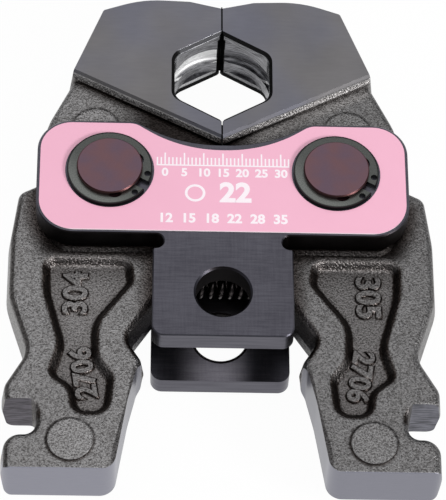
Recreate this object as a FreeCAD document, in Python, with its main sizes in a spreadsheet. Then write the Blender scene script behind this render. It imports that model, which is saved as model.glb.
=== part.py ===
import FreeCAD, Part
import math
import os
import re

# A press jaw: two forged arms that rock on bearing pins between two T-shaped side plates.
# A pressing tool holds the plates on one locking pin and spreads the tails with its rollers,
# which closes the press halves at the head. A spring between the arms closes the head at rest.
# The origin is the middle of the locking-pin bore, half way between the plates.
# +Y runs to the head, +X to the right arm, +Z out of the labelled front. Millimetres, degrees.

Vector = FreeCAD.Vector
Rotation = FreeCAD.Rotation
doc = FreeCAD.newDocument("press_jaw")
sheet = doc.addObject("Spreadsheet::Sheet", "sizes")

SIZES = {
    # side plates
    "plate_gap": 17.0,
    "plate_thickness": 6.2,
    "bar_end_reach": 18.8,
    "bar_top": 51.5,
    "bar_low": 17.0,
    "bar_top_corner": 9.0,
    "bar_low_corner": 10.0,
    "dip_depth": 6.9,
    "dip_half_mouth": 22.8,
    "dip_half_floor": 11.0,
    "dip_mouth_round": 5.0,
    "dip_floor_round": 36.0,
    "stem_half_width": 17.9,
    "stem_low": 12.9,
    "stem_corner": 3.0,
    "relief_depth": 2.75,
    "relief_height": 4.1,
    "relief_round": 2.0,
    "relief_lip_round": 0.65,
    "plate_edge_break": 0.3,
    "lock_bore_r": 7.0,
    "lock_bore_lead": 0.5,
    # bearing pins and their rings
    "pivot_x": 29.3,
    "pivot_y": 36.1,
    "pin_r": 8.5,
    "pin_proud": 2.5,
    "pin_edge_break": 0.3,
    "pin_running_gap": 0.05,
    "groove_depth": 0.6,
    "ring_thickness": 1.2,
    "ring_side_gap": 0.05,
    "ring_band": 3.05,
    "ring_mouth": 2.6,
    "ring_turn": 29.0,
    "ring_hole_r": 0.85,
    "ring_hole_edge": 1.1,
    "ring_hole_turn": 19.5,
    "ring_hollow_r": 2.2,
    "ring_hollow_depth": 1.3,
    "ring_hollow_turn": 50.0,
    # label foil
    "label_thickness": 0.2,
    "label_border": 0.8,
    "label_dip_extra": 1.05,
    "label_window_gap": 0.5,
    # arm thicknesses and forging form
    "arm_thickness": 14.5,
    "head_thickness": 19.7,
    "draft_angle": 7.0,
    "edge_round": 2.0,
    "step_slope": 1.6,
    "seat_side_gap": 0.2,
    "seat_reach": 15.2,
    "seat_reach_up": 9.9,
    "seat_reach_down": 20.4,
    "seat_corner": 5.0,
    "seat_slope": 0.9,
    "notch_depth": 8.0,
    "notch_cut": 0.6,
    "mark_height": 0.35,
    "tail_mark_x": 37.7,
    "tail_mark_y": -38.9,
    "tail_mark_r": 5.75,
    "head_mark_x": 33.2,
    "head_mark_y": 54.2,
    "head_mark_r": 6.0,
    "recess_depth": 2.3,
    "recess_wall_angle": 36.0,
    "recess_rim_round": 2.0,
    "recess_floor_round": 1.4,
    # press opening and parting face
    "parting_gap": 0.3,
    "parting_low": 41.0,
    "opening_y": 69.95,
    "lip_apex": 13.9,
    "lip_half_width": 12.6,
    "lip_side_angle": 30.0,
    "lip_corner": 4.0,
    "lip_lead": 0.85,
    "lip_depth": 2.65,
    "band_r": 13.55,
    "bead_r": 15.3,
    "bead_half_width": 3.0,
    "bead_round": 1.2,
    "seam_relief": 0.9,
    "seam_corner": 0.6,
    "seam_corner_rise": 1.1,
    # spring between the arms' inner shoulders
    "spring_y": 10.45,
    "spring_seat_r": 3.7,
    "spring_seat_depth": 5.6,
    "spring_coil_r": 2.75,
    "spring_wire_r": 0.65,
    "spring_pitch": 2.55,
    "spring_end_gap": 0.1,
}

# Corners of the arm's outlines: distance out from the centre line, height, corner radius.
# The forged outline is taken at half thickness, where the draft of both faces meets.
FORGING = {
    "root_inner": (-4.0, 52.0, 3.2),
    "root_outer": (37.4, 75.5, 3.2),
    "side_bend": (47.1, 54.8, 20.0),
    "neck": (47.9, 37.2, 3.0),
    "shoulder": (53.4, 34.3, 3.6),
    "side": (55.2, 20.0, 30.0),
    "flank": (55.2, 2.5, 16.0),
    "waist": (50.0, -13.5, 6.0),
    "lobe": (55.4, -23.2, 5.0),
    "notch_lip": (55.2, -29.6, 3.6),
    "notch_head": ("=notch_lip_x - notch_depth", -29.6, 2.0),
    "notch_foot": ("=hook_x - notch_depth", -36.2, 2.3),
    "hook": (55.1, -36.2, 5.0),
    "foot_outer": (54.9, -51.0, 3.2),
    "foot_inner": (22.8, -51.0, 3.2),
    "track_stock": (19.6, -22.0, 8.0),
    "nub": (19.8, -15.2, 3.2),
    "scoop": (23.5, -9.3, 3.2),
    "knee": (15.8, 2.5, 5.0),
    "spring_face_low": (7.4, 4.6, 3.2),
    "spring_face_high": (7.4, 16.8, 3.2),
    "slot_low": (4.5, 21.0, 3.0),
    "slot_high": (4.5, 39.0, 3.0),
    "root_low": (-4.0, 44.1, 3.2),
}

HEAD = {
    "nose_inner": (-3.0, 92.6, 2.5),
    "nose_bend": (8.5, 95.4, 4.0),
    "crown": (21.5, 95.9, 30.0),
    "cheek": (32.8, 91.8, 2.2),
    "step_outer": (41.4, 69.3, 2.6),
    "step_inner": (-3.0, 46.3, 3.0),
}

RECESS = {
    "recess_top_outer": (45.9, 14.3, 3.2),
    "recess_side": (45.6, 4.0, 16.0),
    "recess_waist": (41.4, -11.2, 8.0),
    "recess_hip": (44.0, -20.1, 3.2),
    "recess_step": (38.5, -24.3, 4.5),
    "recess_low_outer": (37.7, -31.4, 4.0),
    "recess_low_inner": (28.3, -31.6, 4.4),
    "recess_bulge": (27.2, -20.6, 4.6),
    "recess_throat_low": (31.3, -14.6, 5.5),
    "recess_throat_high": (31.5, -5.0, 9.0),
    "recess_wing": (22.5, 7.2, 4.2),
    "recess_top_inner": (23.4, 14.3, 3.4),
}

# Milled faces of the tail: the bearing wall of the notch, the end face and the roller track.
NOTCH = {
    "wall_out": (62.0, -27.4, 0.0),
    "wall_root": ("=notch_lip_x - notch_depth - notch_cut", -27.4, 1.8),
    "wall_floor": ("=notch_lip_x - notch_depth - notch_cut", -33.5, 0.0),
    "wall_low": (62.0, -33.5, 0.0),
}

TAIL = {
    "tail_out_top": (62.0, -44.2, 0.0),
    "tail_side": (55.0, -44.2, 0.0),
    "tail_corner": (55.0, -47.0, 2.6),
    "tail_track_corner": (26.9, -47.0, 4.2),
    "track_bend": (23.7, -27.5, 24.0),
    "track_top": (21.6, -18.5, 4.0),
    "track_nub": (20.1, -16.2, 0.0),
    "tail_in_top": (14.0, -16.2, 0.0),
    "tail_in_low": (14.0, -56.0, 0.0),
    "tail_out_low": (62.0, -56.0, 0.0),
}


# Sizes that follow from others.
FOLLOWING = {
    "bar_half_width": "=pivot_x + bar_end_reach",
    "ring_bore_r": "=pin_r - groove_depth + ring_side_gap",
    "ring_outer_r": "=ring_bore_r + ring_band",
    "ring_hole_out": "=ring_outer_r - ring_hole_edge",
    "ring_hollow_out": "=ring_bore_r + ring_hollow_depth - ring_hollow_r",
    "label_window_r": "=ring_outer_r + label_window_gap",
}


def fill_sheet():
    """One row a size: its name, its value under that name as alias."""
    table = dict(SIZES)
    for corners in (FORGING, HEAD, RECESS, NOTCH, TAIL):
        for name, (x, y, radius) in corners.items():
            table[name + "_x"] = x
            table[name + "_y"] = y
            if radius:
                table[name + "_r"] = radius
    table.update(FOLLOWING)
    for row, (name, value) in enumerate(table.items(), 1):
        sheet.set("A%d" % row, name)
        sheet.set("B%d" % row, str(value))
        sheet.setAlias("B%d" % row, name)
    doc.recompute()


def on_sheet(text):
    """The expression with every size's name looked up on the sheet."""
    return re.sub(r"[a-z]+_[a-z_]+", r"sizes.\g<0>", text)


def value(text):
    """The number that an expression on the sheet's sizes gives now."""
    return float(sheet.evalExpression(on_sheet(text)))


def bind(thing, field, text):
    thing.setExpression(field, on_sheet(text))


def corners_of(table):
    """Sheet expressions for the corners of one of the outlines above."""
    rows = []
    for name, (x, y, radius) in table.items():
        rows.append((name + "_x", name + "_y", name + "_r" if radius else ""))
    return rows


def new_body(label):
    body = doc.addObject("PartDesign::Body", label)
    body.Label = label
    return body


def new_sketch(body, name, plane="XY_Plane", lift=""):
    """A sketch on one of the body's own planes, raised along its normal by an expression."""
    sketch = body.newObject("Sketcher::SketchObject", name)
    base = [item for item in body.Origin.OriginFeatures if item.Role == plane][0]
    sketch.AttachmentSupport = [(base, "")]
    sketch.MapMode = "FlatFace"
    if lift:
        bind(sketch, "AttachmentOffset.Base.z", lift)
    return sketch


def pin_point(sketch, rules, geometry, end, x, y):
    """Place one point of a sketch by two sheet expressions."""
    for kind, text in (("DistanceX", x), ("DistanceY", y)):
        rules.append((sketch_rule(kind, geometry, end, value(text)), text))


def sketch_rule(*words):
    import Sketcher
    return Sketcher.Constraint(*words)


def apply_rules(sketch, rules):
    """Add the constraints in one go, then tie each size to its cell."""
    first = sketch.ConstraintCount
    sketch.addConstraint([rule for rule, text in rules])
    for number, (rule, text) in enumerate(rules, first):
        if text:
            bind(sketch, "Constraints[%d]" % number, text)


def rounded_ends(points, radii, number):
    """Where the arc at one corner starts and ends, and its centre."""
    count = len(points)
    here = points[number]
    back = (points[number - 1] - here).normalize()
    ahead = (points[(number + 1) % count] - here).normalize()
    half = back.getAngle(ahead) / 2
    reach = radii[number] / math.tan(half)
    middle = here + (back + ahead).normalize() * (radii[number] / math.sin(half))
    return here + back * reach, here + ahead * reach, middle


def draw_outline(sketch, corners):
    """A closed outline through corners (x, y, radius), each a sheet expression."""
    points = [Vector(value(x), value(y), 0) for x, y, radius in corners]
    radii = [value(radius) if radius else 0.0 for x, y, radius in corners]
    ends = []
    for number, radius in enumerate(radii):
        if radius:
            ends.append(rounded_ends(points, radii, number))
        else:
            ends.append((points[number], points[number], None))
    count = len(points)
    lines = []
    for number in range(count):
        start = ends[number][1]
        stop = ends[(number + 1) % count][0]
        lines.append(sketch.addGeometry(Part.LineSegment(start, stop), False))
    rules = []
    for number, (x, y, radius) in enumerate(corners):
        before, after = lines[number - 1], lines[number]
        if not radius:
            rules.append((sketch_rule("Coincident", before, 2, after, 1), ""))
            pin_point(sketch, rules, after, 1, x, y)
            continue
        start, stop, middle = ends[number]
        crest = middle + (points[number] - middle).normalize() * radii[number]
        arc = sketch.addGeometry(Part.Arc(start, crest, stop), False)
        joint = sketch.addGeometry(Part.Point(points[number]), True)
        pin_point(sketch, rules, joint, 1, x, y)
        rules.append((sketch_rule("PointOnObject", joint, 1, before), ""))
        rules.append((sketch_rule("PointOnObject", joint, 1, after), ""))
        turn = (points[number] - points[number - 1]).cross(points[(number + 1) % count] - points[number]).z
        first, last = (1, 2) if turn > 0 else (2, 1)
        rules.append((sketch_rule("Tangent", before, 2, arc, first), ""))
        rules.append((sketch_rule("Tangent", after, 1, arc, last), ""))
        rules.append((sketch_rule("Radius", arc, radii[number]), radius))
    apply_rules(sketch, rules)


def draw_circle(sketch, x, y, radius):
    """A circle whose centre and radius are sheet expressions."""
    middle = Vector(value(x), value(y), 0)
    ring = sketch.addGeometry(Part.Circle(middle, Vector(0, 0, 1), value(radius)), False)
    rules = [(sketch_rule("Radius", ring, value(radius)), radius)]
    pin_point(sketch, rules, ring, 3, x, y)
    apply_rules(sketch, rules)


def feature(body, kind, name, sketch, length, sides="One side", taper="", reverse=False):
    """A pad or pocket of a sketch, its length and draft bound to the sheet."""
    made = body.newObject("PartDesign::" + kind, name)
    made.Refine = False
    made.Profile = sketch
    made.SideType = sides
    made.Reversed = reverse
    bind(made, "Length", length)
    if taper:
        bind(made, "TaperAngle", taper)
        if sides == "Symmetric":
            bind(made, "TaperAngle2", taper)
    sketch.Visibility = False
    doc.recompute()
    return made


def dress(body, kind, name, size, height, test=None):
    """A fillet or chamfer on the level edges at a height that pass a test, its size on the sheet."""
    base = body.Tip
    names = []
    for number, edge in enumerate(base.Shape.Edges, 1):
        if lies_at(edge, height) and (test is None or test(edge)):
            names.append("Edge%d" % number)
    made = body.newObject("PartDesign::" + kind, name)
    made.Refine = False
    made.Base = (base, names)
    bind(made, "Radius" if kind == "Fillet" else "Size", size)
    doc.recompute()


def dress_both(body, kind, name, size, thickness, test=None):
    """The same fillet or chamfer on the front face and then on the rear face."""
    dress(body, kind, "front_" + name, size, value(thickness) / 2, test)
    dress(body, kind, "rear_" + name, size, -value(thickness) / 2, test)


def lies_at(edge, height):
    """Whether an edge runs level at this height."""
    box = edge.BoundBox
    return abs(box.ZMin - height) < 1e-4 and abs(box.ZMax - height) < 1e-4


def near(edge, x, y, reach):
    """Whether an edge's middle lies within reach of a point in plan."""
    middle = edge.BoundBox.Center
    return math.hypot(middle.x - x, middle.y - y) < reach


def right_arm():
    """The right arm, forged in one piece and milled where it works."""
    body = new_body("right_jaw_arm")
    sketch = new_sketch(body, "forging_outline")
    draw_outline(sketch, corners_of(FORGING))
    feature(body, "Pad", "forging", sketch, "arm_thickness", "Symmetric", "-draft_angle")
    dress_both(body, "Fillet", "forging_edges", "edge_round", "arm_thickness")
    sink_recesses(body)
    joined = body.newObject("PartDesign::Boolean", "joined_forging")
    joined.Type = "Fuse"
    joined.setObjects([forged_head(), pivot_seat()])
    joined.Refine = False
    doc.recompute()
    raise_ejector_marks(body)
    mill_tail(body)
    mill_press_half(body)
    bore_arm(body)
    return body


def forged_head():
    """The thicker head, with a slope above its step down to the arm."""
    body = new_body("arm_head")
    sketch = new_sketch(body, "head_outline")
    draw_outline(sketch, corners_of(HEAD))
    feature(body, "Pad", "head", sketch, "head_thickness", "Symmetric", "-draft_angle")
    into = "(head_thickness / 2 * tan(draft_angle) + step_slope)"
    spots = (("-head_thickness", "-head_thickness"), ("4 * head_thickness", "-head_thickness"),
             ("4 * head_thickness", into), ("-head_thickness", into))
    for name, lift, reverse in (("front_slope", "head_thickness / 2", False),
                                ("rear_slope", "-head_thickness / 2", True)):
        sketch = new_sketch(body, name + "_outline", lift=lift)
        draw_outline(sketch, [step_spot(along, rise) for along, rise in spots])
        feature(body, "Pocket", name, sketch, "step_slope", taper="-45 deg", reverse=reverse)
    return body


def step_spot(along, into):
    """A corner measured along the head's step and square to it, into the head."""
    turn = "atan2(step_outer_y - step_inner_y; step_outer_x - step_inner_x)"
    x = "step_inner_x + %s * cos(%s) - %s * sin(%s)" % (along, turn, into, turn)
    y = "step_inner_y + %s * sin(%s) + %s * cos(%s)" % (along, turn, into, turn)
    return x, y, ""


def pivot_seat():
    """The raised seat round the pivot that runs between the side plates."""
    body = new_body("arm_seat")
    left = "pivot_x - seat_reach"
    right = "pivot_x + seat_reach"
    top = "pivot_y + seat_reach_up"
    low = "pivot_y - seat_reach_down"
    sketch = new_sketch(body, "seat_outline")
    spots = ((left, low), (right, low), (right, top), (left, top))
    draw_outline(sketch, [(x, y, "seat_corner") for x, y in spots])
    thickness = "plate_gap - 2 * seat_side_gap"
    feature(body, "Pad", "seat", sketch, thickness, "Symmetric")
    dress_both(body, "Chamfer", "seat_edges", "seat_slope", thickness)
    return body


def raise_ejector_marks(body):
    """Two low round marks on each face, left by the die's ejectors."""
    for place in ("tail_mark", "head_mark"):
        sketch = new_sketch(body, place + "_circle")
        draw_circle(sketch, place + "_x", place + "_y", place + "_r")
        feature(body, "Pad", place, sketch, "arm_thickness + 2 * mark_height", "Symmetric")


def sink_recesses(body):
    """The weight-saving recess in both faces: sloping walls, round at the rim and the floor."""
    for name, face, reverse in (("front_recess", "arm_thickness / 2", False),
                                ("rear_recess", "-arm_thickness / 2", True)):
        sketch = new_sketch(body, name + "_outline", lift=face)
        draw_outline(sketch, corners_of(RECESS))
        feature(body, "Pocket", name, sketch, "recess_depth", taper="-recess_wall_angle", reverse=reverse)
        level = value(face)
        floor = level + value("recess_depth") * (1 if reverse else -1)
        dress(body, "Fillet", name + "_rim", "recess_rim_round", level, lambda edge: on_line(edge, sketch))
        dress(body, "Fillet", name + "_floor", "recess_floor_round", floor)


def on_line(edge, sketch):
    """Whether an edge's middle lies on a sketch's outline."""
    middle = edge.valueAt((edge.FirstParameter + edge.LastParameter) / 2)
    return sketch.Shape.distToShape(Part.Vertex(middle))[0] < 1e-3


def mill_tail(body):
    """The hook notch, the end face and the roller track, milled square to the faces."""
    for name, table in (("notch", NOTCH), ("tail_end", TAIL)):
        sketch = new_sketch(body, name + "_outline")
        draw_outline(sketch, corners_of(table))
        feature(body, "Pocket", name, sketch, "2 * head_thickness", "Symmetric")


def mill_press_half(body):
    """The parting face and the press opening: lips, round bands and the bead groove."""
    sketch = new_sketch(body, "parting_outline")
    spots = (("-lip_half_width", "parting_low"), ("parting_gap / 2", "parting_low"),
             ("parting_gap / 2", "2 * opening_y"), ("-lip_half_width", "2 * opening_y"))
    draw_outline(sketch, [(x, y, "") for x, y in spots])
    feature(body, "Pocket", "parting_face", sketch, "2 * head_thickness", "Symmetric")
    sketch = new_sketch(body, "lip_outline")
    draw_outline(sketch, lip_corners("(0 * lip_lead)"))
    feature(body, "Pocket", "press_opening", sketch, "2 * head_thickness", "Symmetric")
    for name, lift, reverse in (("front_lip_lead", "head_thickness / 2", False),
                                ("rear_lip_lead", "-head_thickness / 2", True)):
        sketch = new_sketch(body, name + "_outline", lift=lift)
        draw_outline(sketch, lip_corners("lip_lead"))
        feature(body, "Pocket", name, sketch, "lip_lead", taper="-45 deg", reverse=reverse)
    turn_bands(body)
    break_seam_corners(body)


def lip_corners(wider):
    """The half hexagon of the press opening, wider all round by an expression."""
    side = "(lip_half_width + %s)" % wider
    apex = "(lip_apex + %s / cos(lip_side_angle))" % wider
    rise = "(%s - %s * tan(lip_side_angle))" % (apex, side)
    return [
        ("-" + side, "opening_y - " + apex, ""),
        ("0 * lip_apex", "opening_y - " + apex, ""),
        (side, "opening_y - " + rise, "lip_corner"),
        (side, "opening_y + " + rise, "lip_corner"),
        ("0 * lip_apex", "opening_y + " + apex, ""),
        ("-" + side, "opening_y + " + apex, ""),
    ]


def turn_bands(body):
    """The round bands behind the lips and the deeper bead groove between them."""
    sketch = new_sketch(body, "band_section", "XZ_Plane", "-opening_y")
    deep = "(head_thickness / 2 - lip_depth)"
    draw_outline(sketch, [
        ("0 * band_r", "-" + deep, ""),
        ("band_r", "-" + deep, ""),
        ("band_r", "-bead_half_width", ""),
        ("bead_r", "-bead_half_width", "bead_round"),
        ("bead_r", "bead_half_width", "bead_round"),
        ("band_r", "bead_half_width", ""),
        ("band_r", deep, ""),
        ("0 * band_r", deep, ""),
    ])
    made = body.newObject("PartDesign::Groove", "bead_groove")
    made.Profile = sketch
    made.ReferenceAxis = (sketch, ["V_Axis"])
    made.Angle = 360
    sketch.Visibility = False
    sketch = new_sketch(body, "seam_outline")
    end = "(opening_y + bead_r + seam_relief)"
    low = "(opening_y - bead_r - seam_relief)"
    draw_outline(sketch, [
        ("-seam_relief", low, ""),
        ("0 * seam_relief", low, ""),
        ("seam_relief", "opening_y - bead_r", ""),
        ("seam_relief", "opening_y + bead_r", ""),
        ("0 * seam_relief", end, ""),
        ("-seam_relief", end, ""),
    ])
    feature(body, "Pocket", "seam_relief_cut", sketch, "2 * " + deep, "Symmetric")


def break_seam_corners(body):
    """The corner between the parting face and the lips, broken above and below the opening."""
    for name, way in (("high", "+"), ("low", "-")):
        sketch = new_sketch(body, name + "_seam_corner_outline")
        tip = "opening_y %s (lip_apex + seam_corner_rise)" % way
        side = "opening_y %s (lip_apex - seam_corner * tan(lip_side_angle))" % way
        deep = "opening_y %s (lip_apex - 2 * seam_corner)" % way
        spots = [("-seam_corner", tip), ("0 * seam_corner", tip), ("seam_corner", side),
                 ("seam_corner", deep), ("-seam_corner", deep)]
        draw_outline(sketch, [(x, y, "") for x, y in spots])
        feature(body, "Pocket", name + "_seam_corner", sketch, "2 * head_thickness", "Symmetric")


def bore_arm(body):
    """The pivot bore with running clearance, and the blind seat for the spring's end."""
    sketch = new_sketch(body, "pivot_circle")
    draw_circle(sketch, "pivot_x", "pivot_y", "pin_r + pin_running_gap")
    feature(body, "Pocket", "pivot_bore", sketch, "2 * head_thickness", "Symmetric")
    sketch = new_sketch(body, "spring_circle", "YZ_Plane")
    draw_circle(sketch, "spring_y", "0 * spring_y", "spring_seat_r")
    feature(body, "Pocket", "spring_seat", sketch, "spring_face_low_x + spring_seat_depth", reverse=True)


def mirrored(label, source, normal):
    """The same piece mirrored in a plane through the origin."""
    made = doc.addObject("Part::Mirroring", label)
    made.Label = label
    made.Source = source
    made.Normal = normal
    made.Base = Vector(0, 0, 0)
    doc.recompute()
    return made


def plate_corners():
    """The T outline: the bar with its dipped top edge, the relief notches and the stem."""
    half = [
        ("stem_half_width", "-stem_low", "stem_corner"),
        ("stem_half_width", "bar_low - relief_height", "relief_lip_round"),
        ("stem_half_width - relief_depth", "bar_low - relief_height", "relief_round"),
        ("stem_half_width - relief_depth", "bar_low", "relief_round"),
        ("bar_half_width", "bar_low", "bar_low_corner"),
        ("bar_half_width", "bar_top", "bar_top_corner"),
        ("dip_half_mouth", "bar_top", "dip_mouth_round"),
        ("dip_half_floor", "bar_top - dip_depth", "dip_floor_round"),
    ]
    return half + [("-(%s)" % x, y, radius) for x, y, radius in reversed(half)]


def front_plate():
    """The front side plate, punched from flat bar and ground."""
    body = new_body("front_side_plate")
    sketch = new_sketch(body, "plate_outline", lift="plate_gap / 2")
    draw_outline(sketch, plate_corners())
    draw_circle(sketch, "0 * pivot_x", "0 * pivot_y", "lock_bore_r")
    for side in ("pivot_x", "-pivot_x"):
        draw_circle(sketch, side, "pivot_y", "pin_r + pin_running_gap")
    feature(body, "Pad", "plate", sketch, "plate_thickness")
    face = value("plate_gap / 2 + plate_thickness")
    dress(body, "Chamfer", "bore_lead", "lock_bore_lead", face, lambda edge: near(edge, 0, 0, 1e-3))
    dress(body, "Chamfer", "plate_edges", "plate_edge_break", face, lambda edge: len(edge.Vertexes) > 1)
    return body


def label_foil():
    """The thin foil on the front plate, with a round window for each pin."""
    body = new_body("front_label")
    sketch = new_sketch(body, "foil_outline", lift="plate_gap / 2 + plate_thickness")
    dip = "bar_top - label_border - dip_depth - label_dip_extra"
    half = [
        ("bar_half_width - label_border", "bar_low + label_border", "bar_low_corner - label_border"),
        ("bar_half_width - label_border", "bar_top - label_border", "bar_top_corner - label_border"),
        ("dip_half_mouth", "bar_top - label_border", "dip_mouth_round"),
        ("dip_half_floor", dip, "dip_floor_round - label_border - label_dip_extra"),
    ]
    draw_outline(sketch, half + [("-(%s)" % x, y, radius) for x, y, radius in reversed(half)])
    for side in ("pivot_x", "-pivot_x"):
        draw_circle(sketch, side, "pivot_y", "label_window_r")
    feature(body, "Pad", "foil", sketch, "label_thickness")
    return body


def bearing_pin(label, side):
    """A hardened pin with a ring groove near each end, turned from bar."""
    body = new_body(label)
    sketch = new_sketch(body, "pin_section", "XZ_Plane")
    face = "(plate_gap / 2 + plate_thickness)"
    end = "(%s + pin_proud)" % face
    groove_out = "(%s + ring_thickness + ring_side_gap)" % face
    half = [
        ("pin_r", face, ""),
        ("pin_r - groove_depth", face, ""),
        ("pin_r - groove_depth", groove_out, ""),
        ("pin_r", groove_out, ""),
        ("pin_r", "%s - pin_edge_break" % end, ""),
        ("pin_r - pin_edge_break", end, ""),
        ("0 * pin_r", end, ""),
    ]
    draw_outline(sketch, half + [(x, "-(%s)" % y, "") for x, y, radius in reversed(half)])
    made = body.newObject("PartDesign::Revolution", "turned_pin")
    made.Profile = sketch
    made.ReferenceAxis = (sketch, ["V_Axis"])
    made.Angle = 360
    sketch.Visibility = False
    bind(body, "Placement.Base.x", side + "pivot_x")
    bind(body, "Placement.Base.y", "pivot_y")
    doc.recompute()
    return body


def retaining_ring(label, side, lift, turn):
    """A ring with a mouth, two plier holes, and a hollow beside each lug."""
    body = new_body(label)
    sketch = new_sketch(body, "ring_circles")
    draw_circle(sketch, "0 * ring_outer_r", "0 * ring_outer_r", "ring_outer_r")
    draw_circle(sketch, "0 * ring_outer_r", "0 * ring_outer_r", "ring_bore_r")
    feature(body, "Pad", "ring", sketch, "ring_thickness")
    sketch = new_sketch(body, "mouth_outline")
    spots = (("0 * ring_mouth", "-ring_mouth / 2"), ("1.5 * ring_outer_r", "-ring_mouth / 2"),
             ("1.5 * ring_outer_r", "ring_mouth / 2"), ("0 * ring_mouth", "ring_mouth / 2"))
    draw_outline(sketch, [(x, y, "") for x, y in spots])
    feature(body, "Pocket", "mouth", sketch, "ring_thickness", reverse=True)
    for place in ("ring_hole", "ring_hollow"):
        for way in ("", "-"):
            name = "%s_%s" % (place, "low" if way else "high")
            sketch = new_sketch(body, name + "_circle")
            x = "%s_out * cos(%s_turn)" % (place, place)
            y = way + "%s_out * sin(%s_turn)" % (place, place)
            draw_circle(sketch, x, y, place + "_r")
            feature(body, "Pocket", name, sketch, "ring_thickness", reverse=True)
    body.Placement = FreeCAD.Placement(Vector(), Rotation(Vector(0, 0, 1), 1.0))
    bind(body, "Placement.Base.x", side + "pivot_x")
    bind(body, "Placement.Base.y", "pivot_y")
    bind(body, "Placement.Base.z", lift)
    bind(body, "Placement.Rotation.Angle", turn)
    doc.recompute()
    return body


def jaw_spring():
    """The round-wire compression spring, its ends in the arms' blind seats."""
    reach = "(spring_face_low_x + spring_seat_depth - spring_end_gap - spring_wire_r)"
    path = doc.addObject("Part::Helix", "spring_path")
    bind(path, "Radius", "spring_coil_r")
    bind(path, "Pitch", "spring_pitch")
    bind(path, "Height", "2 * " + reach)
    wire = doc.addObject("Part::Circle", "spring_wire")
    bind(wire, "Radius", "spring_wire_r")
    bind(wire, "Placement.Base.x", "spring_coil_r")
    wire.Placement = FreeCAD.Placement(wire.Placement.Base, Rotation(Vector(1, 0, 0), 90))
    coil = doc.addObject("Part::Sweep", "jaw_spring")
    coil.Label = "jaw_spring"
    coil.Sections = [wire]
    coil.Spine = (path, [])
    coil.Solid = True
    coil.Frenet = True
    coil.Placement = FreeCAD.Placement(Vector(), Rotation(Vector(0, 1, 0), 90))
    bind(coil, "Placement.Base.x", "-" + reach)
    bind(coil, "Placement.Base.y", "spring_y")
    doc.recompute()
    return coil


def build():
    arm = right_arm()
    plate = front_plate()
    face = "(plate_gap / 2 + plate_thickness)"
    pieces = [arm, mirrored("left_jaw_arm", arm, Vector(1, 0, 0)),
              plate, mirrored("rear_side_plate", plate, Vector(0, 0, 1)), label_foil()]
    for word, side in (("left", "-"), ("right", "")):
        pieces.append(bearing_pin(word + "_bearing_pin", side))
        pieces.append(retaining_ring("front_%s_retaining_ring" % word, side, face, "-ring_turn"))
        pieces.append(retaining_ring("rear_%s_retaining_ring" % word, side,
                                     "-%s - ring_thickness" % face, "ring_turn"))
    pieces.append(jaw_spring())
    return pieces


def check(pieces):
    """Stop before anything is written if a feature failed or a shape isn't sound."""
    for item in doc.Objects:
        if "Invalid" in item.State or "Error" in item.State:
            raise RuntimeError("failed: %s %s" % (item.Name, item.State))
    for piece in pieces:
        shape = piece.Shape
        if shape.isNull() or not shape.isValid() or len(shape.Solids) != 1:
            raise RuntimeError("not one sound solid: " + piece.Label)
        print("%-28s %9.1f mm3" % (piece.Label, shape.Volume))


fill_sheet()
made_pieces = build()
doc.recompute()
check(made_pieces)
os.makedirs("parts", exist_ok=True)
for piece in made_pieces:
    piece.Shape.exportStep("parts/%s.step" % piece.Label)
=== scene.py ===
import math

import bmesh
import bpy
from mathutils import Matrix, Vector


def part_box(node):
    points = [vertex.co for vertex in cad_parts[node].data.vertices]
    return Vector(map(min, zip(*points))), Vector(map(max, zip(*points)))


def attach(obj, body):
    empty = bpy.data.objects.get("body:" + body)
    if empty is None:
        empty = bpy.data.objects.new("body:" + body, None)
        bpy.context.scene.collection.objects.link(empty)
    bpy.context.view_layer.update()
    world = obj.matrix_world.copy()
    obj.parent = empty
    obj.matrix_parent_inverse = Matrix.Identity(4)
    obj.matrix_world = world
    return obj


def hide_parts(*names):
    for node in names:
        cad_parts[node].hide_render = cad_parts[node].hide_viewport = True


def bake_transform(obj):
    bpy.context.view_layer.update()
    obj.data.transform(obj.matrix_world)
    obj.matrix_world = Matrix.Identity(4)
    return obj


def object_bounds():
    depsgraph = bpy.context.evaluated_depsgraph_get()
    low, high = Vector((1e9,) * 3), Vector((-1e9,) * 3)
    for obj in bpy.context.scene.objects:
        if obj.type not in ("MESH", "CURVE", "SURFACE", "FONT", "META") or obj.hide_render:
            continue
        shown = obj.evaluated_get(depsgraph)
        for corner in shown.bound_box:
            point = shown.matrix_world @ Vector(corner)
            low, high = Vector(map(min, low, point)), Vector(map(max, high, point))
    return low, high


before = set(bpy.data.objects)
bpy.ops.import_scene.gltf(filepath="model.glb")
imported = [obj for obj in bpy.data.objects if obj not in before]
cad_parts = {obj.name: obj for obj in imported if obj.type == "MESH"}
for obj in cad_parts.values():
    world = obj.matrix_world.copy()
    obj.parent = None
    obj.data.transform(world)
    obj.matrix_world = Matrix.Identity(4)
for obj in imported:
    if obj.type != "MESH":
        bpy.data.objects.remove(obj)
cad_low, cad_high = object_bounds()
scene = bpy.context.scene


# The camera looks down from above the tail end, through a long lens. The jaw lies on its back on
# a white table, on the rear ends of its two pins.
camera = bpy.data.objects.new("camera", bpy.data.cameras.new("camera"))
scene.collection.objects.link(camera)
camera.location = (-0.02393, -0.38716, 0.65770)
camera.rotation_mode = "QUATERNION"
camera.rotation_quaternion = Matrix((
    (0.99936, -0.01702, -0.03153),
    (-0.00217, 0.84956, -0.52750),
    (0.03576, 0.52723, 0.84897),
)).to_quaternion()
camera.data.lens = 214.2
camera.data.sensor_width = 36.0
scene.camera = camera
scene.view_settings.view_transform = "Standard"


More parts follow.
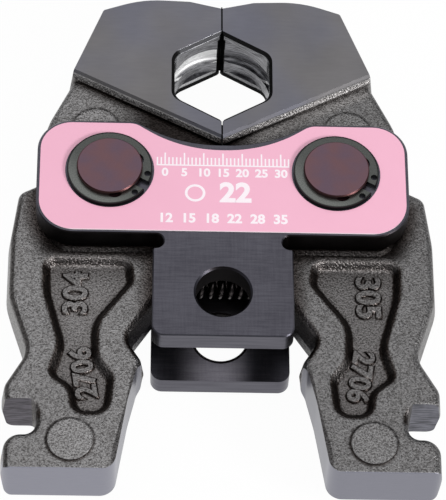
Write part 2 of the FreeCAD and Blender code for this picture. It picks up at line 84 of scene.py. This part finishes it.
# The table is a white sheet that runs out of view. To the camera and to shiny faces it is nearly
# white, and it keeps the jaw's soft shadow.
table_reach = 8.0
sheet_white, plain_white = (0.88, 0.88, 0.88, 1.0), (1.0, 1.0, 1.0, 1.0)
table_mesh = bpy.data.meshes.new("table")
table_mesh.from_pydata([(across * table_reach, along * table_reach, cad_low.z)
                        for across, along in ((-1, -1), (1, -1), (1, 1), (-1, 1))],
                       [], [(0, 1, 2, 3)])
table = bpy.data.objects.new("table", table_mesh)
scene.collection.objects.link(table)


class Shade:
    """A value in a material: sums, products and mixes of it add the nodes they need."""

    def __init__(self, tree, socket):
        self.tree = tree
        self.socket = socket

    def node(self, kind, settings=None, values=None, output=0):
        """Any other node: its settings first, then the values or links of its sockets."""
        made = self.tree.nodes.new("ShaderNode" + kind)
        for name, setting in (settings or {}).items():
            setattr(made, name, setting)
        for name, entry in (values or {}).items():
            if isinstance(entry, Shade):
                self.tree.links.new(entry.socket, made.inputs[name])
            else:
                made.inputs[name].default_value = entry
        return Shade(self.tree, made.outputs[output])

    def maths(self, work, *entries):
        """A Math node, or a Vector Math node where an entry is a vector or a colour."""
        kinds = [entry.socket.type for entry in entries if isinstance(entry, Shade)]
        if "VECTOR" in kinds or "RGBA" in kinds:
            entries = [entry if isinstance(entry, (Shade, tuple)) else (entry, entry, entry)
                       for entry in entries]
            return self.node("VectorMath", {"operation": work}, dict(enumerate(entries)))
        return self.node("Math", {"operation": work}, dict(enumerate(entries)))

    def __add__(self, other):
        return self.maths("ADD", self, other)

    def __radd__(self, other):
        return self.maths("ADD", other, self)

    def __sub__(self, other):
        return self.maths("SUBTRACT", self, other)

    def __rsub__(self, other):
        return self.maths("SUBTRACT", other, self)

    def __mul__(self, other):
        return self.maths("MULTIPLY", self, other)

    def __rmul__(self, other):
        return self.maths("MULTIPLY", other, self)

    def __neg__(self):
        return self.maths("MULTIPLY", self, -1.0)

    def __abs__(self):
        return self.maths("ABSOLUTE", self)

    def rise(self, low, high):
        """0 below low, 1 above high, smooth between them; falls where low is above high."""
        return self.node("MapRange", {"interpolation_type": "SMOOTHSTEP"},
                         {"Value": self, "From Min": low, "From Max": high})

    def near(self, place, reach, core):
        """1 within core of a place, 0 beyond reach of it."""
        return abs(self - place).rise(reach, core)

    def most(self, *others):
        """The largest of several masks."""
        result = self
        for other in others:
            result = self.maths("MAXIMUM", result, other)
        return result

    def blend(self, under, over):
        """The colour under where this value is 0, the colour over where it is 1."""
        return self.node("Mix", {"data_type": "RGBA"}, {0: self, 6: under, 7: over}, output=2)

    def stain(self, colour, factors):
        """The colour, with its red, green and blue multiplied where this value is 1."""
        return self.blend(colour, colour * factors)

    def parts(self):
        """The three numbers of a vector."""
        return [self.node("SeparateXYZ", None, {0: self}, output=number) for number in range(3)]

    def length(self):
        return self.node("VectorMath", {"operation": "LENGTH"}, {0: self}, output="Value")

    def grain(self, size, detail, rough):
        """Soft noise on this place, its grains about size across."""
        return self.node("TexNoise", None, {"Vector": self, "Scale": 1.0 / size, "Detail": detail,
                                            "Roughness": rough})


def shader(name):
    """A new material: its surface node, the place on the piece in millimetres, and its normal."""
    material = bpy.data.materials.new(name)
    material.use_nodes = True
    tree = material.node_tree
    where = tree.nodes.new("ShaderNodeTexCoord")
    place = Shade(tree, where.outputs["Object"]) * 1000.0
    return material, tree.nodes["Principled BSDF"], place, Shade(tree, where.outputs["Normal"])


def dress(surface, **values):
    """Set or link the sockets of a surface; a height in millimetres goes through a bump."""
    for name, entry in values.items():
        if name == "height":
            bump = entry.node("Bump", None, {"Strength": 1.0, "Distance": 0.001, "Height": entry})
            entry.tree.links.new(bump.socket, surface.inputs["Normal"])
            continue
        socket = surface.inputs[name.replace("_", " ").title()]
        if isinstance(entry, Shade):
            entry.tree.links.new(entry.socket, socket)
        else:
            socket.default_value = entry


def show(closure, output="Material Output"):
    """Make this the surface that the material or the world ends in."""
    closure.tree.links.new(closure.socket, closure.tree.nodes[output].inputs["Surface"])


material, surface, place, normal = shader("white_table")
dress(surface, base_color=sheet_white, roughness=0.7)
lit = Shade(material.node_tree, surface.outputs[0])
white = lit.node("Emission", None, {"Color": plain_white, "Strength": 1.0})
seen, glossy, through = [lit.node("LightPath", output="Is %s Ray" % kind)
                         for kind in ("Camera", "Glossy", "Transmission")]
show(lit.node("MixShader", None, {0: seen.most(glossy, through) * 0.97, 1: lit, 2: white}))
table.data.materials.append(material)


# The room round the table is dim, and behind it the camera sees the table's white. A large soft
# sheet of light hangs over the head, and a small lamp low at the right of the tails makes the
# forging's grain sparkle.
world = bpy.data.worlds.new("studio")
scene.world = world
world.use_nodes = True
room = world.node_tree.nodes["Background"]
room.inputs["Color"].default_value = (0.93, 0.96, 1.0, 1.0)
room.inputs["Strength"].default_value = 0.2
dim = Shade(world.node_tree, room.outputs[0])
white = dim.node("Background", None, {"Color": plain_white, "Strength": 1.0})
seen = dim.node("LightPath", output="Is Camera Ray")
show(dim.node("MixShader", None, {0: seen, 1: dim, 2: white}), "World Output")

for name, spot, width, length, watts, aim in (
    ("sheet_lamp", (-0.08, 0.22, 0.95), 1.5, 2.3, 11.0, None),
    ("tail_lamp", (0.72, -0.5, 0.62), 0.25, 0.25, 7.0, (0.0, 0.03, 0.0)),
):
    lamp = bpy.data.lights.new(name, "AREA")
    lamp.shape = "RECTANGLE"
    lamp.size = width
    lamp.size_y = length
    lamp.energy = watts
    holder = bpy.data.objects.new(name, lamp)
    scene.collection.objects.link(holder)
    holder.location = spot
    if aim:
        holder.rotation_euler = (Vector(aim) - Vector(spot)).to_track_quat("-Z", "Y").to_euler()


# Each arm is one drop forging in tempered steel, shot-blasted to a fine dark grain. The head,
# the parting face, the press opening, the notch wall, the tail's end and the roller track are
# machined bare. The recesses are a little darker and browner, with painted shade on their walls and
# in their corners.

# Heights over the middle plane and places along the jaw, in millimetres as in all materials.
arm_low, arm_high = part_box("right_jaw_arm")
head_face, tail_tip = arm_high.z * 1000.0, arm_low.y * 1000.0
arm_face = 7.25
opening_axis, opening_reach, upper_flat = 69.95, 17.0, 12.4
notch_wall_y, track_reach, track_top = -27.4, 28.0, -16.2
step_lean, step_start = 0.518, 47.85
tail_disc, tail_disc_radius = (37.7, -38.9), 6.0
head_disc, head_disc_radius = (33.2, 54.2), 6.2

# The blasted skin, then the faces that are machined: on the head, on the tail, in the opening.
skin_dark, skin_light = (0.18, 0.175, 0.174, 1.0), (0.255, 0.25, 0.251, 1.0)
face_dark, face_light = (0.132, 0.13, 0.142, 1.0), (0.156, 0.155, 0.168, 1.0)
milled_dark, milled_light = (0.235, 0.235, 0.28, 1.0), (0.295, 0.295, 0.345, 1.0)
turned_dark, turned_light = (0.06, 0.06, 0.065, 1.0), (0.25, 0.25, 0.265, 1.0)
bead_painted_highlight, lip_painted_highlight = (0.9, 0.9, 0.9, 1.0), (0.95, 0.95, 0.95, 1.0)
lip_shade_black, shade_black = (0.025, 0.025, 0.027, 1.0), (0.01, 0.01, 0.01, 1.0)


def from_centre(place, centre):
    """The flat way to this place from a centre that is given for the right half and mirrored."""
    x = place.parts()[0]
    across, along = centre
    own = x.node("CombineXYZ", None, {0: x.maths("SIGN", x) * across, 1: along})
    return place * (1.0, 1.0, 0.0) - own


def paint(material, *nodes):
    """Give a finish to whole pieces of the fixed frame."""
    for name in nodes:
        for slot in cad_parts[name].material_slots:
            slot.material = material


forged_steel, surface, place, normal = shader("forged_steel")
x, y, z = place.parts()
nx, ny, nz = normal.parts()
out, deep, level = abs(x), abs(z), abs(nz)
fine = place.grain(0.26, 1.0, 0.5)
pits = place.grain(0.5, 1.0, 0.5)
cloud = place.grain(14.0, 2.0, 0.5)
to_right = x.rise(-20.0, 20.0)

# Here out and deep are distances from the two middle planes, and level is 1 on flat-lying faces.
# Where the tail and the notch are machined:
tail_end = y.rise(tail_tip + 0.5, tail_tip + 0.1)
tail_end = tail_end.most(y.rise(tail_tip + 3.6, tail_tip + 2.6) * level.rise(0.4, 0.25))
by_track = out.rise(track_reach, track_reach - 1.0)
track = by_track * y.rise(track_top, track_top - 1.0) * level.rise(0.3, 0.1)
notch_wall = ny.rise(-0.8, -0.95) * y.near(notch_wall_y, 0.4, 0.1) * out.rise(45.0, 45.6)

# In the press opening: the chamfered lips, the bead groove, and the edge of the upper flats,
# which are 60 degrees off the level line.
from_axis = (place * (1.0, 1.0, 0.0) - (0.0, opening_axis, 0.0)).length()
on_face = deep.rise(head_face - 0.1, head_face - 0.03) * level.rise(0.9, 0.98)
press = from_axis.rise(opening_reach, opening_reach - 0.6) * (1.0 - on_face)
lead = press * deep.rise(head_face - 0.9, head_face - 0.75)
lead = lead * deep.rise(head_face + 0.01, head_face - 0.05) * level.rise(0.4, 0.6)
rear_lip = press * z.rise(-7.22, -7.4)
along_flat = out * 0.5 + (y - opening_axis) * 0.866
lip_edge = press * along_flat.near(upper_flat, 0.45, 0.25)
lip_edge = lip_edge * z.rise(-7.4, -7.25) * nz.rise(0.8, 0.95)
bead = press * from_axis.rise(13.9, 14.6) * deep.rise(3.2, 2.8)

# On the head: its flat face, the crest of the step down to the arm, and the parting faces.
past_step = y - out * step_lean - step_start
crest = past_step.rise(2.2, 2.5) * level.rise(0.95, 0.85) * (1.0 - press) * out.rise(46.0, 45.0)
crest = crest * deep.rise(8.4, 8.6) * level.rise(0.2, 0.4) * (-ny).rise(0.3, 0.4)
head = deep.rise(head_face - 0.15, head_face - 0.05) * y.rise(44.0, 46.0) * level.rise(0.9, 0.98)
head = (head * (1.0 - press)).most(crest)
parting = (out.rise(0.35, 0.25) * abs(nx).rise(0.8, 0.95)).most(
    out.rise(0.25, 0.2), press * out.rise(1.15, 0.95) * deep.rise(7.6, 7.3))
milled = tail_end.most(track)
bare = milled.most(press, head, notch_wall)

# The forged recesses, with painted shade on their walls and a painted highlight on the walls
# that face the tail, and the round marks of the ejectors, with painted shade round their rims.
sunk = out.rise(21.6, 22.4) * out.rise(47.4, 46.6) * y.rise(-33.4, -32.6) * y.rise(15.6, 15.2)
sunk = sunk * deep.rise(arm_face, arm_face - 0.11) * level.rise(0.2, 0.4)
recess_wall_shade = sunk * (level + 0.12 * (pits - 0.5)).rise(1.0, 0.87) * (0.15 + 0.85 * ny.rise(-0.5, -0.05))
top_wall_highlight = sunk * level.rise(0.98, 0.85) * ny.rise(-0.3, -0.7)
from_tail_disc = from_centre(place, tail_disc)
tail_mark = from_tail_disc.length()
head_mark = from_centre(place, head_disc).length()
marks = tail_mark.rise(tail_disc_radius + 0.5, tail_disc_radius - 0.7)
marks = marks.most(head_mark.rise(head_disc_radius + 0.5, head_disc_radius - 0.7))
mark_floor = tail_mark.rise(tail_disc_radius, tail_disc_radius - 0.8)
mark_floor = mark_floor.most(head_mark.rise(head_disc_radius, head_disc_radius - 0.8))
mark_rim = tail_mark.near(tail_disc_radius + 0.05, 0.6, 0.1)
mark_rim = mark_rim.most(head_mark.near(head_disc_radius + 0.1, 0.6, 0.1)) * level.rise(0.3, 0.6)
# Painted shade round the ejector marks' rims, strongest towards the lower left.
rim_right, rim_up = (from_tail_disc * (1.0, 0.6, 0.0)).parts()[:2]
mark_rim_shade = mark_rim * (0.25 + 0.6 * (rim_right + rim_up).rise(5.5, -3.5))

# Painted shade: under the plates, at the foot of the step, in the scoop inside the shoulders,
# and in all narrow corners. Then painted shade along the left arm's outer edge, and a painted
# highlight beside the step.
up_the_arm = y.rise(30.0, 34.0)
shade_below_plate = y.rise(12.6, 16.6) * y.rise(30.0, 20.0) * out.rise(50.0, 44.0) * deep.rise(8.6, 8.4)
step_foot_shade = past_step.rise(3.0, 0.6) * (past_step.rise(-1.8, 0.0) * 0.8).most(out.rise(33.0, 18.0))
step_foot_shade = step_foot_shade * deep.rise(head_face - 0.01, head_face - 0.25) * up_the_arm
step_foot_shade = step_foot_shade * (0.98 - 0.62 * x.rise(1.0, 13.0) - 0.35 * x.rise(-20.0, -38.0))
scoop_shade = level.rise(0.6, 0.25) * y.rise(-17.0, -14.0) * y.rise(16.0, 11.0) * out.rise(29.0, 27.0)
# Painted shade in narrow corners, from ambient occlusion.
corners = place.node("AmbientOcclusion", {"samples": 8}, {"Distance": 0.0062}, output="AO")
corners = corners.rise(0.99, 0.62) * (0.88 - 0.75 * x.rise(2.0, 12.0) * up_the_arm)
left_edge_shade = (-nx).rise(0.1, 0.3) * level.rise(0.98, 0.9) * level.rise(0.35, 0.65)
left_edge_shade = left_edge_shade * out.rise(38.0, 42.0) * x.rise(0.0, -10.0)
left_edge_shade = left_edge_shade * (1.0 - sunk) * y.rise(34.0, 30.0)
glint = x.rise(4.0, 12.0) * past_step.rise(-3.4, -1.2) * past_step.rise(2.6, 1.4)
glint = glint * deep.rise(head_face - 0.01, head_face - 0.25) * up_the_arm

# The skin, dark in its pits, painted darker towards the right arm as shade, with the recess
# floors a little darker, the ejector marks lighter, and the painted shade and highlights above.
skin = cloud.blend(skin_dark, skin_light) * (1.0 - 0.2 * to_right)
speck = (fine * 0.5 + pits * 0.5).rise(0.34, 0.62)
skin = skin * speck.blend((0.42, 0.405, 0.395, 1.0), (1.42, 1.42, 1.42, 1.0))
for mask, factors in (
    (sunk, (0.9, 0.885, 0.88)),
    (recess_wall_shade, (0.26, 0.22, 0.2)),
    (corners, (0.24, 0.19, 0.17)),
    (top_wall_highlight, (1.5, 1.47, 1.45)),
    (mark_floor * 0.5, (1.25, 1.25, 1.25)),
    (left_edge_shade, (0.42, 0.4, 0.39)),
    (mark_rim_shade, (0.2, 0.18, 0.17)),
    (glint, (1.45, 1.43, 1.41)),
    ((shade_below_plate * 0.9).most(step_foot_shade, scoop_shade * 0.75), (0.1, 0.085, 0.08)),
):
    skin = mask.stain(skin, factors)

# The machined faces, with the lines of their cutters.
lines = (place * (0.06, 0.06, 1.0)).grain(0.22, 2.0, 0.6)
strokes = (place * (0.12, 1.0, 1.0)).grain(0.5, 3.0, 0.6)
face = strokes.blend(face_dark, face_light) * (0.84 + 0.32 * cloud)
temper = place.grain(22.0, 1.0, 0.5).rise(0.3, 0.7)
face = face * temper.blend((0.95, 0.96, 1.05, 1.0), (1.06, 1.03, 0.97, 1.0))
worked = lines.blend(milled_dark, milled_light)
turned = lines.rise(0.35, 0.65).blend(turned_dark, turned_light)
# Painted highlights: white in the bead groove of the left arm, lighter on the right, and a thin
# line on the lips' edges. The lips' chamfers get painted black shade.
turned = bead.blend(turned, x.rise(1.0, -1.0).blend(turned * 1.4, bead_painted_highlight))
turned = lead.most(rear_lip).blend(turned, lip_shade_black)
turned = lip_edge.blend(turned, lip_painted_highlight)

# The track is darker towards its top, and its milled edges, along two lines, are nearly black.
track_shadow = 0.2 * y.rise(-44.0, -40.0) + 0.14 * y.rise(-36.0, -20.0)
track_rim = (out * 0.987 + y * 0.162 - 18.94).rise(0.5, 0.2)
track_rim = track_rim.most((out * 0.974 + y * 0.227 - 16.84).rise(0.5, 0.2))
track_rim = track_rim * level.rise(0.9, 0.98) * y.rise(-46.4, -45.6) * y.rise(-17.0, -18.5)
track_rim = (track_rim * by_track).most(track * deep.rise(6.7, 7.1))
# The notch wall is painted darker on the left arm and lighter on the right, as light and shade.
notch_wall_light_and_shade = to_right.blend((0.83, 0.76, 0.76, 1.0), (1.22, 1.22, 1.22, 1.0))

colour = head.blend(skin, crest.stain(face, 0.9))
# The milled faces are painted darker on the right arm, as shade.
colour = milled.blend(colour, worked * (1.0 - track_shadow * track) * (1.0 - 0.16 * to_right))
colour = (track_rim * 0.75).stain(colour, (0.2, 0.19, 0.19))
colour = notch_wall.blend(colour, worked * (0.17 + 0.4 * lines.rise(0.35, 0.65)) * notch_wall_light_and_shade)
colour = press.blend(colour, turned)
painted_highlight_band = bead.most(lip_edge)
roughness = (0.29 + 0.15 * fine) * (1.0 - bare) + (0.27 + 0.1 * lines) * bare - 0.08 * press
roughness = roughness + 0.25 * painted_highlight_band.most(crest) - 0.08 * top_wall_highlight
roughness = roughness + 0.2 * tail_end * level.rise(0.15, 0.5)
height = (fine * 0.11 + pits * 0.22 + marks * 0.3) * (1.0 - bare) + lines * 0.004 * bare
# The painted highlights on the left arm are partly not metallic, so that they show white.
dress(surface, base_color=colour, metallic=1.0 - 0.6 * painted_highlight_band * x.rise(1.0, -1.0),
      roughness=roughness, height=height)

# The faces that meet at the parting line and the lips' chamfers are painted black, as shade in
# the seam and on the chamfers.
steel = Shade(forged_steel.node_tree, surface.outputs[0])
black = place.node("BsdfDiffuse", None, {"Color": shade_black})
black_shade = parting.most(lead * 0.8, rear_lip * 0.9)
show(place.node("MixShader", None, {0: black_shade, 1: steel, 2: black}))
paint(forged_steel, "left_jaw_arm", "right_jaw_arm")


def lettered(name, text, size, spot, turn=0.0, bold=0.0, thick=0.0, edge=0.0):
    """Figures printed flat or cast on: a mesh in the frame of the whole jaw, in metres."""
    curve = bpy.data.curves.new(name, "FONT")
    curve.body = text
    curve.size = size
    curve.align_x, curve.align_y = "CENTER", "CENTER"
    curve.offset = bold
    curve.extrude = thick
    curve.bevel_depth = edge
    curve.bevel_resolution = 0
    curve.resolution_u = 4
    holder = bpy.data.objects.new(name + "_text", curve)
    scene.collection.objects.link(holder)
    bpy.context.view_layer.update()
    shaped = holder.evaluated_get(bpy.context.evaluated_depsgraph_get())
    made = bpy.data.meshes.new_from_object(shaped)
    bpy.data.objects.remove(holder)
    made.transform(Matrix.Translation(Vector(spot)) @ Matrix.Rotation(math.radians(turn), 4, "Z"))
    return made


def piece(name, mesh, material, body):
    """A piece of the scene that rides on a body of the frame."""
    made = bpy.data.objects.new(name, mesh)
    scene.collection.objects.link(made)
    mesh.materials.clear()
    mesh.materials.append(material)
    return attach(made, body)


# Plain numbers forged on the recess floors, upright seen from the outer side of each arm.
recess_floor = 0.00495
for body, way, upper in (("left_arm", -1, "304"), ("right_arm", 1, "305")):
    for word, text, size, spot, slant in (
        ("upper", upper, 0.0085, (0.0372 * way, 0.0045), 90.0),
        ("lower", "2706", 0.0074, (0.0347 * way, -0.0188), 99.0),
    ):
        numbers = lettered(word + "_forged_numbers", text, size, (*spot, recess_floor + 0.00005),
                           turn=-slant * way, bold=0.00022, thick=0.00012, edge=0.00036)
        made = piece("%s_%s_forged_numbers" % (body, word), numbers, forged_steel, body)

# The lands of the parting faces, which touch when the head is closed. The solids stop 0.15 mm
# short of the centre line, and each land fills its half of that gap, a little below the faces.
# Each edge gives the places along the jaw and the heights of the front half.
land_back, land_front = 0.00016, 0.000004
land_edges = {
    "high": ((0.0854, 0.0096), (0.0926, 0.0096), (0.0931, 0.0091)),
    "low": ((0.0455, 0.0068), (0.0474, 0.0092), (0.0478, 0.0096), (0.0543, 0.0096)),
}
for body, way in (("left_arm", -1), ("right_arm", 1)):
    for word, edge in land_edges.items():
        outline = edge + tuple((along, -height) for along, height in reversed(edge))
        shape = bmesh.new()
        back, front = [[shape.verts.new((across * way, along, height)) for along, height in outline]
                       for across in (land_back, land_front)]
        shape.faces.new(back)
        shape.faces.new(front)
        for number in range(len(outline)):
            following = (number + 1) % len(outline)
            shape.faces.new((back[number], back[following], front[following], front[number]))
        bmesh.ops.recalc_face_normals(shape, faces=shape.faces)
        land = bpy.data.meshes.new(word + "_parting_land")
        shape.to_mesh(land)
        shape.free()
        made = piece("%s_%s_parting_land" % (body, word), land, forged_steel, body)


# The spring is coiled from round drawn wire, painted dark as shade between the plates. It pushes
# between the arms' inner shoulders, with its ends in blind seats. Here it is two halves.
coil_radius, wire_radius, pitch = 0.00275, 0.00065, 0.00255
reach, axis_height, seat_mouth = 0.01225, 0.01045, 0.0115
wire_shade_dark, wire_shade_light = (0.04, 0.034, 0.034, 1.0), (0.1, 0.088, 0.088, 1.0)
turns = 2 * reach / pitch
steps = int(24 * turns)
wire_line = []
for number in range(steps + 1):
    along = -reach + 2 * reach * number / steps
    angle = math.tau * turns * number / steps
    wire_line.append(Vector((along, axis_height + coil_radius * math.sin(angle),
                             coil_radius * math.cos(angle))))


def tube(points, radius, sides=12):
    """A round wire along a line of points, closed at both ends."""
    shape = bmesh.new()
    angles = [math.tau * side / sides for side in range(sides)]
    rings = []
    for number, point in enumerate(points):
        ahead = points[min(number + 1, len(points) - 1)] - points[max(number - 1, 0)]
        across = ahead.cross(Vector((1, 0, 0))).normalized()
        lift = across.cross(ahead).normalized()
        rings.append([
            shape.verts.new(point + radius * (math.cos(angle) * across + math.sin(angle) * lift))
            for angle in angles])
    for one, other in zip(rings, rings[1:]):
        for side in range(sides):
            following = (side + 1) % sides
            shape.faces.new((one[side], one[following], other[following], other[side]))
    shape.faces.new(list(reversed(rings[0])))
    shape.faces.new(rings[-1])
    bmesh.ops.recalc_face_normals(shape, faces=shape.faces)
    for facet in shape.faces:
        facet.smooth = len(facet.verts) == 4
    made = bpy.data.meshes.new("wire")
    shape.to_mesh(made)
    shape.free()
    return made


material, surface, place, normal = shader("spring_steel")
drawn = place.grain(0.35, 2.0, 0.6)
dress(surface, base_color=drawn.blend(wire_shade_dark, wire_shade_light), metallic=1.0,
      roughness=0.24 + 0.14 * drawn, height=0.006 * drawn)
middle = steps // 2
for word, body, points, start in (
    ("left", "left_arm", wire_line[:middle + 1], -seat_mouth),
    ("right", "right_arm", wire_line[middle:], seat_mouth),
):
    half = bpy.data.objects.new(word + "_spring_half", tube(points, wire_radius))
    scene.collection.objects.link(half)
    half.data.materials.append(material)
    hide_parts("jaw_spring")
    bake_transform(half)


# The side plates are T-shaped, of tempered steel, punched from flat bar, ground and burnished
# dark. They carry both pins, and the tool's locking pin goes through the bore in their stems.
bore_radius, chamfer_radius, rear_plate = 7.0, 7.8, -8.0
ground_dark, ground_light = (0.056, 0.054, 0.067, 1.0), (0.094, 0.092, 0.109, 1.0)
edge_dark, edge_light = (0.086, 0.083, 0.102, 1.0), (0.122, 0.119, 0.142, 1.0)
bar_shade_black, bore_shade_black = (0.02, 0.017, 0.018, 1.0), (0.014, 0.012, 0.013, 1.0)

material, surface, place, normal = shader("plate_steel")
x, y, z = place.parts()
ny, nz = normal.parts()[1:]
from_bore = (place * (1.0, 1.0, 0.0)).length()
on_rear = z.rise(rear_plate, rear_plate - 0.4)
fine = place.grain(0.35, 3.0, 0.6)
ground = (place * (0.07, 1.0, 0.3)).grain(0.45, 4.0, 0.65)
crossing = (place * (1.0, 0.06, 0.3)).grain(0.5, 3.0, 0.6)
cloud = place.grain(12.0, 2.0, 0.5)
streaks = (place * (0.06, 0.06, 1.0)).grain(0.9, 3.0, 0.6).rise(0.3, 0.7)
scratched = ground * 0.55 + crossing * 0.25 + fine * 0.2
edge = abs(nz).rise(0.98, 0.9)
# Painted shade on the bar's lower side faces and in the bore, and a painted pool of light on the
# rear plate below the bore.
bar_underside_shade = edge * y.rise(2.0, 8.0) * ny.rise(-0.2, -0.7)
rear_light_pool = on_rear * nz.rise(0.9, 0.98) * x.near(-1.5, 11.0, 6.5)
bore_shade = from_bore.rise(bore_radius + 0.2, bore_radius + 0.05) * abs(nz).rise(0.5, 0.3)
bore_shade = bore_shade.most(from_bore.rise(chamfer_radius, chamfer_radius - 0.2) * on_rear)

colour = scratched.rise(0.3, 0.7).blend(ground_dark, ground_light) * (0.8 + 0.4 * cloud)
colour = edge.blend(colour, streaks.blend(edge_dark, edge_light))
colour = rear_light_pool.stain(colour, (2.3, 2.25, 2.15))
colour = bore_shade.blend(bar_underside_shade.blend(colour, bar_shade_black), bore_shade_black)
dress(surface, base_color=colour, metallic=1.0, roughness=0.26 + 0.14 * scratched + 0.45 * bore_shade,
      height=0.006 * ground + 0.003 * crossing)
paint(material, "front_side_plate", "rear_side_plate")


# The bearing pins are hardened, ground all round and left purple-brown from tempering, with flat
# ends. They go through both plates, and the rings alone hold them there.
pin_purple, pin_brown = (0.118, 0.078, 0.102, 1.0), (0.14, 0.078, 0.088, 1.0)
pin_side_shade = (0.075, 0.035, 0.035, 1.0)

material, surface, place, normal = shader("pin_steel")
cloud = place.grain(6.0, 2.5, 0.5)
fine = place.grain(0.3, 2.0, 0.6)
colour = cloud.rise(0.3, 0.7).blend(pin_purple, pin_brown) * (0.88 + 0.24 * fine)
# The pins' sides are painted darker and redder, as shade.
colour = abs(normal.parts()[2]).rise(0.95, 0.7).blend(colour, pin_side_shade)
dress(surface, base_color=colour, metallic=1.0, roughness=0.27 + 0.12 * fine, height=0.004 * fine)
paint(material, "left_bearing_pin", "right_bearing_pin")


# The retaining rings are spring steel, phosphated grey-green, with two plier holes each. They
# are snapped into the grooves of the pins, and their outer rims are painted black, as shade.
ring_dark, ring_light = (0.064, 0.067, 0.063, 1.0), (0.105, 0.109, 0.104, 1.0)
ring_rim_shade_black, rim_radius = (0.006, 0.005, 0.006, 1.0), 10.8
pin_low, pin_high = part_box("right_bearing_pin")
pin_axis = (pin_low + pin_high) / 2 * 1000.0

material, surface, place, normal = shader("ring_steel")
fine = place.grain(0.3, 3.0, 0.6)
from_pin = from_centre(place, (pin_axis.x, pin_axis.y))
right, up = from_pin.parts()[:2]
colour = fine.rise(0.3, 0.7).blend(ring_dark, ring_light)
# Painted sheen: the rings are lighter towards the lower left.
colour = colour * (0.95 + 0.75 * (right * -0.6 - up * 0.8).rise(0.0, 10.0))
colour = (from_pin.length().rise(rim_radius - 0.25, rim_radius) * 0.85).blend(colour, ring_rim_shade_black)
dress(surface, base_color=colour, metallic=1.0, roughness=0.28 + 0.14 * fine, height=0.008 * fine)
paint(material, *[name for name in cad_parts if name.endswith("retaining_ring")])


# The label is a thin satin foil, pink, glued on the front plate's bar, with a window round each
# pin. Its print is white: a rule with plain numbers, a size in figures, and a row of sizes.
foil_low, foil_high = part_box("front_label")
print_level = foil_high.z + 0.00001
foil_dark, foil_light = (0.84, 0.43, 0.56, 1.0), (0.87, 0.455, 0.59, 1.0)
cut_foil = (0.9, 0.84, 0.86, 1.0)
ink_dark, ink_light = (0.9, 0.79, 0.84, 1.0), (0.94, 0.87, 0.9, 1.0)

material, surface, place, normal = shader("label_foil")
fine = place.grain(0.25, 2.0, 0.5)
lower_edge = foil_low.y * 1000.0
cut_edge = abs(normal.parts()[2]).rise(0.9, 0.5)
cut_edge = cut_edge.most(place.parts()[1].rise(lower_edge + 0.25, lower_edge + 0.12) * 0.6)
colour = cut_edge.blend(place.grain(9.0, 2.0, 0.5).blend(foil_dark, foil_light), cut_foil)
dress(surface, base_color=colour, roughness=0.38 + 0.08 * fine, height=0.003 * fine)
paint(material, "front_label")

label_print, surface, place, normal = shader("label_print")
ink = place.grain(0.3, 2.0, 0.5).blend(ink_dark, ink_light)
dress(surface, base_color=ink, roughness=0.4)


def bars(rows):
    """Flat printed bars, each from one corner to the other, in metres."""
    made = bpy.data.meshes.new("bars")
    corners, faces = [], []
    for left, low, right, top in rows:
        count = len(corners)
        corners += [(left, low, print_level), (right, low, print_level),
                    (right, top, print_level), (left, top, print_level)]
        faces.append((count, count + 1, count + 2, count + 3))
    made.from_pydata(corners, [], faces)
    return made


# The rule has a tick at each millimetre, and a longer one with a number at each fifth.
rule_low, rule_high, rule_half = 0.0377, 0.0381, 0.0172
tick_half, short_tick, long_tick = 0.0002, 0.0022, 0.0036
rule = [(-rule_half, rule_low, rule_half, rule_high)]
for number in range(-17, 18):
    tall = long_tick if number % 5 == 0 else short_tick
    rule.append((number * 0.001 - tick_half, rule_high,
                 number * 0.001 + tick_half, rule_high + tall))
piece("label_rule", bars(rule), label_print, "frame")
figure_size, figure_line, first_figure = 0.0034, 0.0356, -0.015
for reading in range(0, 35, 5):
    figure = lettered("label_rule_number", str(reading), figure_size,
                      (first_figure + reading * 0.001, figure_line, print_level), bold=0.00012)
    piece("label_rule_number_%d" % reading, figure, label_print, "frame")

# The size, a ring sign in front of it, and the row of sizes below.
size_line, row_line = 0.0294, 0.0216
for name, text, size, spot, bold in (
    ("label_size_number", "22", 0.0082, (0.0032, size_line), 0.0003),
    ("label_size_row", "12  15  18  22  28  35", 0.0038, (0.0, row_line), 0.00014),
):
    figure = lettered(name, text, size, (*spot, print_level), bold=bold)
    piece(name, figure, label_print, "frame")

sign_place, sign_inner, sign_outer, sign_steps = -0.0072, 0.00195, 0.00265, 48
sign = bmesh.new()
inner, outer = [], []
for number in range(sign_steps):
    angle = math.tau * number / sign_steps
    for loop, radius in ((inner, sign_inner), (outer, sign_outer)):
        loop.append(sign.verts.new((sign_place + radius * math.cos(angle),
                                    size_line + radius * math.sin(angle), print_level)))
for number in range(sign_steps):
    following = (number + 1) % sign_steps
    sign.faces.new((inner[number], outer[number], outer[following], inner[following]))
sign_mesh = bpy.data.meshes.new("label_ring")
sign.to_mesh(sign_mesh)
sign.free()
piece("label_ring", sign_mesh, label_print, "frame")
